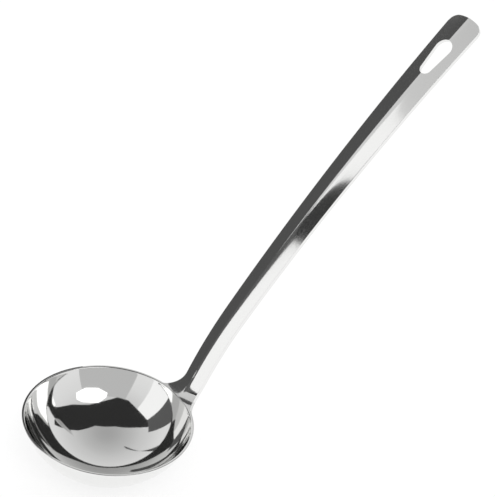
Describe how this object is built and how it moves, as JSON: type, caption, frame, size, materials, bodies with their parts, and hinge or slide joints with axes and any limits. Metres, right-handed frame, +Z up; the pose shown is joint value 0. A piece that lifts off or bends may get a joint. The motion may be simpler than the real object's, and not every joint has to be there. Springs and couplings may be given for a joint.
{
  "type": "soup ladle",
  "caption": "Soup ladle with a round drawn bowl and a long, ridged, tapering handle that rises at a steep angle and ends in a tapered hanging slot.",
  "frame": {"origin": "centre of the bowl's mouth, in the plane of the rim", "axes": "+Z up, out of the bowl's mouth, with the rim level; the handle rises over +X; the ladle is the same on both sides of the XZ plane"},
  "size_m": [0.2412, 0.09, 0.2345],
  "materials": {
    "polished_bowl": "mirror-polished stainless steel",
    "polished_handle": "mirror-polished stainless steel",
    "ground_seam": "weld ground flush and polished"
  },
  "bodies": {
    "root": {"bowl": "polished_bowl", "handle": "polished_handle", "weld_seam": "ground_seam"}
  },
  "joints": []
}
